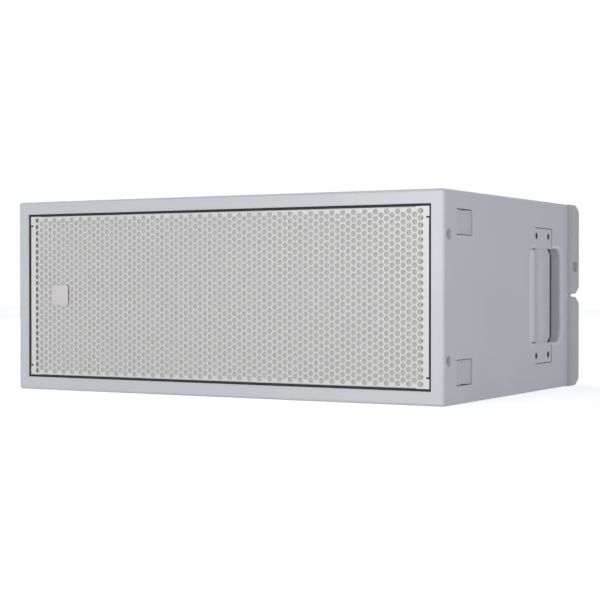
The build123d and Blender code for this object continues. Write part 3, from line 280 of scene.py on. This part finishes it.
# %% Polyurethane
FOOT_GREY = "#C9C9CB"
FOOT_GREY_DARK = "#C0C0C2"
CLOUD_MM = 20
SCUFF_MM = 0.6
material, tree, shader = start_material("cast_polyurethane", FOOT_GREY, 0.5, ior=1.47)
where = place(tree)
clouds = add(tree, "ShaderNodeTexNoise", {"Vector": where, "Scale": per_metre(CLOUD_MM), "Detail": 2})
tone = add(
    tree,
    "ShaderNodeMix",
    {0: clouds.outputs["Fac"], 6: linear(FOOT_GREY_DARK), 7: linear(FOOT_GREY)},
    data_type="RGBA",
)
tree.links.new(tone.outputs[2], shader.inputs["Base Color"])
scuffs = add(tree, "ShaderNodeTexNoise", {"Vector": where, "Scale": per_metre(SCUFF_MM), "Detail": 4})
dull = add(
    tree, "ShaderNodeMapRange", {"Value": scuffs.outputs["Fac"], "To Min": 0.42, "To Max": 0.6}
)
tree.links.new(dull.outputs["Result"], shader.inputs["Roughness"])
bump = add(
    tree, "ShaderNodeBump", {"Height": scuffs.outputs["Fac"], "Strength": 0.4, "Distance": mm(0.02)}
)
tree.links.new(bump.outputs["Normal"], shader.inputs["Normal"])
materials["grey_polyurethane"] = material
print("made", material.name)

# %% [markdown]
# ## Bare metals
# A metal's colour sits in its reflection, so each one is metallic 1 and keeps the default IOR.
# What tells them apart is how they were made. Zinc plate has a cloudy spangle, brushed aluminium
# has fine lines along one direction, and cast aluminium has the grain of its mould.
# One function stretches a noise along an axis: round cells make a cloudy or cast surface, long
# ones make brush lines.

# %% Metals
def metal(name, colour, roughness, grain_mm, stretch=(1, 1, 1), depth_mm=0.02, spread=0.12):
    """A metal whose grain changes its shine and its surface."""
    material, tree, shader = start_material(name, colour, roughness, metallic=1.0)
    shape = add(
        tree, "ShaderNodeMapping", {"Vector": place(tree), "Scale": [1 / s for s in stretch]}
    )
    grain = add(
        tree,
        "ShaderNodeTexNoise",
        {"Vector": shape.outputs["Vector"], "Scale": per_metre(grain_mm), "Detail": 4},
    )
    shine = add(
        tree,
        "ShaderNodeMapRange",
        {"Value": grain.outputs["Fac"], "To Min": roughness - spread, "To Max": roughness + spread},
    )
    tree.links.new(shine.outputs["Result"], shader.inputs["Roughness"])
    bump = add(
        tree,
        "ShaderNodeBump",
        {"Height": grain.outputs["Fac"], "Strength": 0.3, "Distance": mm(depth_mm)},
    )
    tree.links.new(bump.outputs["Normal"], shader.inputs["Normal"])
    return material


materials["zinc_steel"] = metal("zinc_plated_steel", "#B9BABD", 0.35, 3)
materials["badge_aluminium"] = metal("brushed_aluminium", "#BAB6B7", 0.45, 0.15, (60, 1, 1), 0.01)
materials["cast_aluminium"] = metal("cast_aluminium", "#6E7073", 0.5, 0.7, depth_mm=0.08)
materials["titanium_foil"] = metal("titanium_foil", "#9C9893", 0.3, 2)
materials["coil_copper"] = metal("enamelled_copper", "#B8693A", 0.3, 0.3, (1, 1, 40))
print("finishes with the metals:", len(materials))

# %% [markdown]
# ## Blackened steel, ferrite, ABS
# Black oxide on a screw, a powder coat on the connector plate and the link channels, the sintered
# ferrite of a magnet, moulded ABS and the paper pulp of a cone are all dark and not shiny. Each
# differs in its roughness and in the size of its grain: oxide is tight, ferrite is sandy, ABS
# carries the spark-eroded texture of its mould, about 0.3 mm coarse, and pulp is the roughest.

# %% Dark finishes
def dark_finish(name, colour, roughness, grain_mm, depth_mm, metallic=0.0):
    """A dark, fine-grained finish."""
    material, tree, shader = start_material(name, colour, roughness, metallic)
    grain = add(
        tree,
        "ShaderNodeTexNoise",
        {"Vector": place(tree), "Scale": per_metre(grain_mm), "Detail": 3},
    )
    shine = add(
        tree,
        "ShaderNodeMapRange",
        {"Value": grain.outputs["Fac"], "To Min": roughness - 0.08, "To Max": roughness + 0.08},
    )
    tree.links.new(shine.outputs["Result"], shader.inputs["Roughness"])
    bump = add(
        tree,
        "ShaderNodeBump",
        {"Height": grain.outputs["Fac"], "Strength": 0.5, "Distance": mm(depth_mm)},
    )
    tree.links.new(bump.outputs["Normal"], shader.inputs["Normal"])
    return material


materials["blackened_screws"] = dark_finish("black_oxide_steel", "#3A3B3D", 0.35, 0.5, 0.02, 1.0)
materials["black_steel_plate"] = dark_finish("black_powder_coat", "#1C1D1E", 0.45, 0.8, 0.04)
materials["ferrite"] = dark_finish("sintered_ferrite", "#2B2B2D", 0.6, 0.4, 0.05)
materials["black_abs"] = dark_finish("moulded_abs", "#17181A", 0.5, 0.3, 0.04)
materials["paper_cone"] = dark_finish("pressed_paper_pulp", "#26231F", 0.8, 1.5, 0.1)
print("finishes with the dark ones:", len(materials))

# %% [markdown]
# ## What is inside
# Bare birch ply shows its grain as long streaks, the wadding is a soft white fleece, the spider is
# cotton stiffened with resin, and the crossover is a green board with copper coils. They are
# hidden in a closed cabinet, and they are finished all the same, because someone may open it.

# %% Inner finishes
def streaked(name, light, dark, roughness, streak_mm, stretch):
    """Two tones in streaks or blots of a given width."""
    material, tree, shader = start_material(name, light, roughness)
    shape = add(
        tree, "ShaderNodeMapping", {"Vector": place(tree), "Scale": [1 / s for s in stretch]}
    )
    streaks = add(
        tree,
        "ShaderNodeTexNoise",
        {"Vector": shape.outputs["Vector"], "Scale": per_metre(streak_mm), "Detail": 6},
    )
    tone = add(
        tree,
        "ShaderNodeMix",
        {0: streaks.outputs["Fac"], 6: linear(dark), 7: linear(light)},
        data_type="RGBA",
    )
    tree.links.new(tone.outputs[2], shader.inputs["Base Color"])
    bump = add(
        tree,
        "ShaderNodeBump",
        {"Height": streaks.outputs["Fac"], "Strength": 0.3, "Distance": mm(0.1)},
    )
    tree.links.new(bump.outputs["Normal"], shader.inputs["Normal"])
    return material


materials["bare_plywood"] = streaked("bare_birch", "#DDBF93", "#B8925F", 0.6, 3, (25, 1, 1))
materials["wadding"] = streaked("polyester_wadding", "#EDEDE8", "#C9C9C3", 0.95, 4, (1, 1, 1))
materials["spider_cloth"] = streaked("resined_cotton", "#C79A55", "#9C7337", 0.8, 0.6, (1, 1, 1))
materials["circuit_board"] = streaked("glass_epoxy_board", "#1F6B3A", "#18552E", 0.3, 2, (1, 8, 1))
materials["crossover_coils"] = streaked("lacquered_winding", "#B86A35", "#7E431D", 0.3, 0.8, (1, 1, 12))
print("finishes in all:", len(materials))

# %% [markdown]
# ## Dressing the frame
# The record says which finish each piece takes. The handles and the rigging share the steel slot
# with the grille, and take the hardware tone of the same powder coat, or in the cups the lighter copy,
# which is painted light against the shade in the cups.

# %% Give every piece its finish
HARDWARE_PIECES = ("handle_", "rear_link_bracket", "finger_tab", "pin_bushes")
slot_of = {part["node"]: part["material_slot"] for part in frame["record"]["subparts"]}
for name, piece in nodes.items():
    finish = slot_of[name]
    if finish == "painted_sheet_steel" and name.startswith(HARDWARE_PIECES):
        # The cups take the lighter copy of the coat, which is painted light.
        finish = "cup_coat_painted_light" if name.startswith("handle_cup") else "painted_hardware"
    piece.data.materials.clear()
    piece.data.materials.append(materials[finish])
print("dressed", len(nodes), "pieces with", len(set(slot_of.values())), "finishes")

# %% [markdown]
# ## Softer edges
# No made thing has a knife edge. Three modifiers soften the small hardware without touching its
# mesh: Weld joins the faces, Bevel rounds every corner sharper than 35 degrees, and Weighted
# Normal keeps the flat faces flat in the light. The flat panels are left alone, because they meet
# each other flush.

# %% Bevel the hardware
WELD_REACH = mm(0.005)
SHARP_EDGE = math.radians(35)
EDGE_ROUND = {
    "handle_bar": mm(0.4),
    "grip_trims": mm(0.5),
    "rear_link_bar": mm(0.6),
    "rear_link_bracket": mm(0.6),
    "connector_plate": mm(0.3),
    "input_socket": mm(0.4),
    "through_socket": mm(0.4),
    "badge_plate": mm(0.25),
    "finger_tab": mm(0.5),
    "pin_bushes": mm(0.25),
}
softened = 0
for name, piece in nodes.items():
    for prefix, width in EDGE_ROUND.items():
        if not name.startswith(prefix) or name.endswith("screws"):
            continue
        weld = piece.modifiers.new("join_faces", "WELD")
        weld.merge_threshold = WELD_REACH
        bevel = piece.modifiers.new("round_edges", "BEVEL")
        bevel.width = width
        bevel.segments = 2
        bevel.limit_method = "ANGLE"
        bevel.angle_limit = SHARP_EDGE
        piece.modifiers.new("flat_faces", "WEIGHTED_NORMAL")
        softened += 1
print("softened", softened, "pieces")

# %% [markdown]
# ## The perforated grille
# The real grille is a punched steel sheet: 6.5 mm holes on a staggered 8 mm pitch, so every hole has
# six neighbours at 60 degrees. Cutting nearly two thousand holes with booleans would be slow. A
# constrained Delaunay triangulation does it at once: it takes the outline and the hole rims as
# fixed edges and fills only the web between them. Solidify then gives the web its thickness.
# The two outer columns and every second one between them hold one hole more than their
# neighbours, and their end holes come so near the fold that their rims are trimmed there by a
# hair. The drawing is made in x and z, from the middle of the sheet.

# %% Sizes of the grille
HOLE_RADIUS = mm(3.25)
HOLE_PITCH = mm(8)
COLUMNS = 79
RIM_POINTS = 20
SHEET = mm(1.2)
FOLD_RADIUS = mm(1.8)
FLANGE_INSET = mm(16)
CUT_MARGIN = mm(0.2)
NOTCH_RISE = mm(89)
NOTCH_RADIUS = mm(1.1)
NOTCH_DEPTH = mm(4)
NOTCH_STEPS = 6
EDGE_STEP = mm(0.5)

low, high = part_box("grille")
sheet_front = low.y
sheet_back = high.y
middle = (low + high) / 2
half_x = (high.x - low.x) / 2
half_z = (high.z - low.z) / 2
flat_z = half_z - FOLD_RADIUS
flange_x = half_x - FLANGE_INSET
print("sheet:", round(half_x * 2, 4), "by", round(half_z * 2, 4), "m")


# %% Outline and holes
def hole_centres():
    """Centres of the staggered holes, column by column."""
    step = HOLE_PITCH * math.sin(math.radians(60))
    centres = []
    for column in range(COLUMNS):
        x = (column - (COLUMNS - 1) / 2) * step
        shift = 0 if column % 2 == 0 else HOLE_PITCH / 2
        rows = int((half_z + HOLE_RADIUS) / HOLE_PITCH) + 1
        for row in range(-rows, rows):
            z = row * HOLE_PITCH + shift
            if abs(z) <= flat_z:
                centres.append((x, z))
    return centres


def hole_rim(x, z):
    """Points round one hole; a rim that comes too near the fold is trimmed straight."""
    limit = flat_z - CUT_MARGIN
    rim = []
    for i in range(RIM_POINTS):
        angle = 2 * math.pi * (i + 0.5) / RIM_POINTS
        point_z = z + HOLE_RADIUS * math.sin(angle)
        cut = max(-limit, min(limit, point_z))
        rim.append(Vector((x + HOLE_RADIUS * math.cos(angle), cut)))
    return rim


def notch(side, level):
    """A round-ended relief slot in the sheet's edge, from its upper side to its lower side."""
    centre = Vector((half_x - NOTCH_DEPTH + NOTCH_RADIUS, level * NOTCH_RISE))
    points = [Vector((half_x, centre.y + NOTCH_RADIUS))]
    for i in range(NOTCH_STEPS + 1):
        angle = math.pi / 2 + math.pi * i / NOTCH_STEPS
        points.append(centre + NOTCH_RADIUS * Vector((math.cos(angle), math.sin(angle))))
    points.append(Vector((half_x, centre.y - NOTCH_RADIUS)))
    return [Vector((side * p.x, p.y)) for p in points]


def sheet_outline():
    """The flat sheet's outline: full corners, and an edge set back where it is folded."""
    inset = half_x - EDGE_STEP
    right = [Vector((flange_x, flat_z)), Vector((flange_x, half_z)), Vector((half_x, half_z))]
    right += notch(1, 1)
    right += [Vector((inset, NOTCH_RISE - NOTCH_RADIUS - EDGE_STEP))]
    lower = [Vector((p.x, -p.y)) for p in reversed(right)]
    right_side = right + lower
    left_side = [Vector((-p.x, -p.y)) for p in right_side]
    return right_side + left_side


rims = [hole_rim(x, z) for x, z in hole_centres()]
print("holes:", len(rims))

# %% [markdown]
# The triangulation returns a flat web. Its long top and bottom edges then carry the folds: each is
# a quarter circle and a short flange, added as strips that share the web's edge. With the faces
# all turned to the front, Solidify grows the sheet backwards.

# %% Build the sheet
FOLD_STEPS = 6
SAME_POINT = 1e-7


def cut_web(outline, rims):
    """Triangles of the web between the outline and the holes, in the plane of the sheet."""
    points = []
    rings = []
    for ring in [outline] + rims:
        rings.append(list(range(len(points), len(points) + len(ring))))
        points += ring
    inside_with_holes = 2
    result = delaunay_2d_cdt(points, [], rings, inside_with_holes, SAME_POINT)
    return result[0], result[2]


web_points, web_faces = cut_web(sheet_outline(), rims)
mesh = bmesh.new()
web_verts = [mesh.verts.new((middle.x + p.x, sheet_front, middle.z + p.y)) for p in web_points]
for face in web_faces:
    mesh.faces.new([web_verts[i] for i in face])
for level in (1, -1):
    last = None
    for step in range(FOLD_STEPS + 2):
        angle = math.pi / 2 * min(step, FOLD_STEPS) / FOLD_STEPS
        y = sheet_front + FOLD_RADIUS * (1 - math.cos(angle))
        z = flat_z + FOLD_RADIUS * math.sin(angle)
        if step > FOLD_STEPS:
            y = sheet_back
        ends = [middle.x - flange_x, middle.x + flange_x]
        row = [mesh.verts.new((x, y, middle.z + level * z)) for x in ends]
        if last:
            mesh.faces.new([last[0], last[1], row[1], row[0]])
        last = row
bmesh.ops.remove_doubles(mesh, verts=mesh.verts, dist=mm(0.001))
bmesh.ops.recalc_face_normals(mesh, faces=mesh.faces)
mesh.normal_update()
front_facing = sum(face.normal.y * face.calc_area() for face in mesh.faces)
if front_facing > 0:
    bmesh.ops.reverse_faces(mesh, faces=mesh.faces)
data = bpy.data.meshes.new("perforated_grille")
mesh.to_mesh(data)
mesh.free()
grille = bpy.data.objects.new("perforated_grille", data)
bpy.context.scene.collection.objects.link(grille)
grille.data.materials.append(materials["painted_sheet_steel"])
thickness = grille.modifiers.new("sheet_thickness", "SOLIDIFY")
thickness.thickness = SHEET
thickness.offset = -1
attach(grille, "cabinet")
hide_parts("grille")
print("web faces:", len(data.polygons))

# %% [markdown]
# ## Floor, light and camera
# The floor is pale. To the camera it reads as white wherever the light falls on it in full, and
# the shadow of the speaker stays. The world is white to the eye and to reflections, and gives the
# object only a plain, even light, a touch cool, as a white room gives. Three soft panels make the
# shape read. The large one stands well in front, a little to the left, and lights the front evenly.
# The small one stands nearer, off the front right corner: it softens the turn from front to side,
# reaches into the handle, and fades along the side, so that the back of the side is a little darker
# than its front. The third stands far off behind, outside the view, so that the back isn't dim.

# %% What the eye and a mirror see
def seen_directly(tree):
    """1 for a ray from the camera, a mirror or a glass, 0 for the light that spreads around."""
    path = add(tree, "ShaderNodeLightPath")
    seen = add(
        tree,
        "ShaderNodeMath",
        {0: path.outputs["Is Camera Ray"], 1: path.outputs["Is Glossy Ray"]},
        operation="MAXIMUM",
    )
    seen = add(
        tree,
        "ShaderNodeMath",
        {0: seen.outputs[0], 1: path.outputs["Is Transmission Ray"]},
        operation="MAXIMUM",
    )
    return seen.outputs[0]


# %% Floor
FLOOR_HALF = 6.0
FLOOR_GLOW = 0.55
floor_data = bpy.data.meshes.new("floor")
low_z = cad_bounds[0][2]
corners = [(-1, -1), (1, -1), (1, 1), (-1, 1)]
floor_data.from_pydata([(FLOOR_HALF * x, FLOOR_HALF * y, low_z) for x, y in corners], [], [(0, 1, 2, 3)])
floor = bpy.data.objects.new("floor", floor_data)
bpy.context.scene.collection.objects.link(floor)
material, tree, shader = start_material("pale_floor", "#F4F4F4", 0.9)
glow = add(tree, "ShaderNodeMapRange", {"Value": seen_directly(tree), "To Max": FLOOR_GLOW})
tree.links.new(glow.outputs["Result"], shader.inputs["Emission Strength"])
shader.inputs["Emission Color"].default_value = (1, 1, 1, 1)
floor.data.materials.append(material)
print("floor at", round(low_z, 4))

# %% World
AMBIENT = 0.43
COOL_WHITE = "#F1F6FF"
world = bpy.data.worlds.new("studio")
bpy.context.scene.world = world
world.use_nodes = True
tree = world.node_tree
background = tree.nodes["Background"]
strength = add(
    tree, "ShaderNodeMapRange", {"Value": seen_directly(tree), "To Min": AMBIENT, "To Max": 1.0}
)
tree.links.new(strength.outputs["Result"], background.inputs["Strength"])
tint = add(
    tree,
    "ShaderNodeMix",
    {0: seen_directly(tree), 6: linear(COOL_WHITE), 7: (1, 1, 1, 1)},
    data_type="RGBA",
)
tree.links.new(tint.outputs[2], background.inputs["Color"])
print("ambient strength", AMBIENT)


# %% Lights
WARM_WHITE = (1.0, 0.985, 0.965)


def soft_panel(name, place_at, aim, size, power):
    """A square area light that looks at a point."""
    light = bpy.data.lights.new(name, "AREA")
    light.shape = "SQUARE"
    light.size = size
    light.energy = power
    light.color = WARM_WHITE
    lamp = bpy.data.objects.new(name, light)
    bpy.context.scene.collection.objects.link(lamp)
    lamp.location = place_at
    lamp.rotation_euler = (Vector(aim) - Vector(place_at)).to_track_quat("-Z", "Y").to_euler()
    return lamp


soft_panel("front_panel", (-0.3, -2.3, 0.3), (0, 0, 0.1), 0.8, 18.2)
soft_panel("corner_panel", (0.95, -0.85, 0.25), (0.3, -0.2, 0.1), 0.4, 1.6)
soft_panel("back_panel", (-2.9, 2.0, 1.3), (0, 0, 0.12), 1.0, 32)

# %% [markdown]
# The camera stands to the right of the front, level with the middle of the cabinet, with a long
# lens, so the edges converge only a little.

# %% Camera
CAMERA_PLACE = (0.9842, -1.7325, 0.1347)
CAMERA_YAW = math.radians(29.72)
CAMERA_DIP = math.radians(0.598)
LENS_MM = 90.8
SENSOR_MM = 36
camera_data = bpy.data.cameras.new("camera")
camera_data.sensor_width = SENSOR_MM
camera_data.lens = LENS_MM
camera_data.clip_end = 50
camera = bpy.data.objects.new("camera", camera_data)
bpy.context.scene.collection.objects.link(camera)
camera.location = CAMERA_PLACE
camera.rotation_euler = (math.pi / 2 - CAMERA_DIP, 0, CAMERA_YAW)
bpy.context.scene.camera = camera
bpy.context.scene.view_settings.view_transform = "Standard"
print("camera lens", camera_data.lens)

# %% Print the size of the frame
print("cad box", [[round(v, 4) for v in corner] for corner in cad_bounds])
